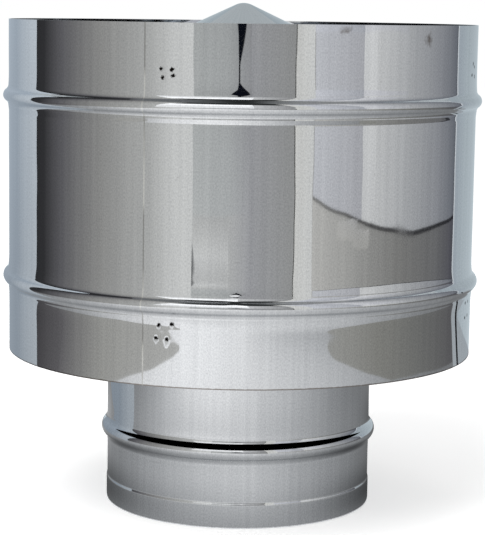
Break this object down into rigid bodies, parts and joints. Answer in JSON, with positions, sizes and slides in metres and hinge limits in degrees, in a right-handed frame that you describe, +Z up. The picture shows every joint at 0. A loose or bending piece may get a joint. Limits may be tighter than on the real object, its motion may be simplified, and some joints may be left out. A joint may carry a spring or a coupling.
{
  "type": "chimney cowl",
  "caption": "Static draught cowl in stainless sheet: an open drum held by strips round a flue neck and diffuser, with a conical rain cap inside it.",
  "frame": {"origin": "centre of the neck's bottom edge, where the flue pipe goes in", "axes": "+Z up along the flue, -Y towards the viewer, +X to the viewer's right"},
  "size_m": [0.2692, 0.2692, 0.284],
  "materials": {
    "polished_sheet": "bright-annealed stainless sheet, mirror-like with a fine grain along the height",
    "bracket_strip": "plain rolled stainless strip, satin"
  },
  "bodies": {
    "root": {"neck_pipe": "polished_sheet", "diffuser": "polished_sheet", "wind_drum": "polished_sheet", "rain_cap": "polished_sheet", "cap_bracket_1": "bracket_strip", "cap_bracket_2": "bracket_strip", "cap_bracket_3": "bracket_strip", "cap_bracket_4": "bracket_strip", "neck_bracket_1": "bracket_strip", "neck_bracket_2": "bracket_strip", "neck_bracket_3": "bracket_strip", "neck_bracket_4": "bracket_strip"}
  },
  "joints": []
}
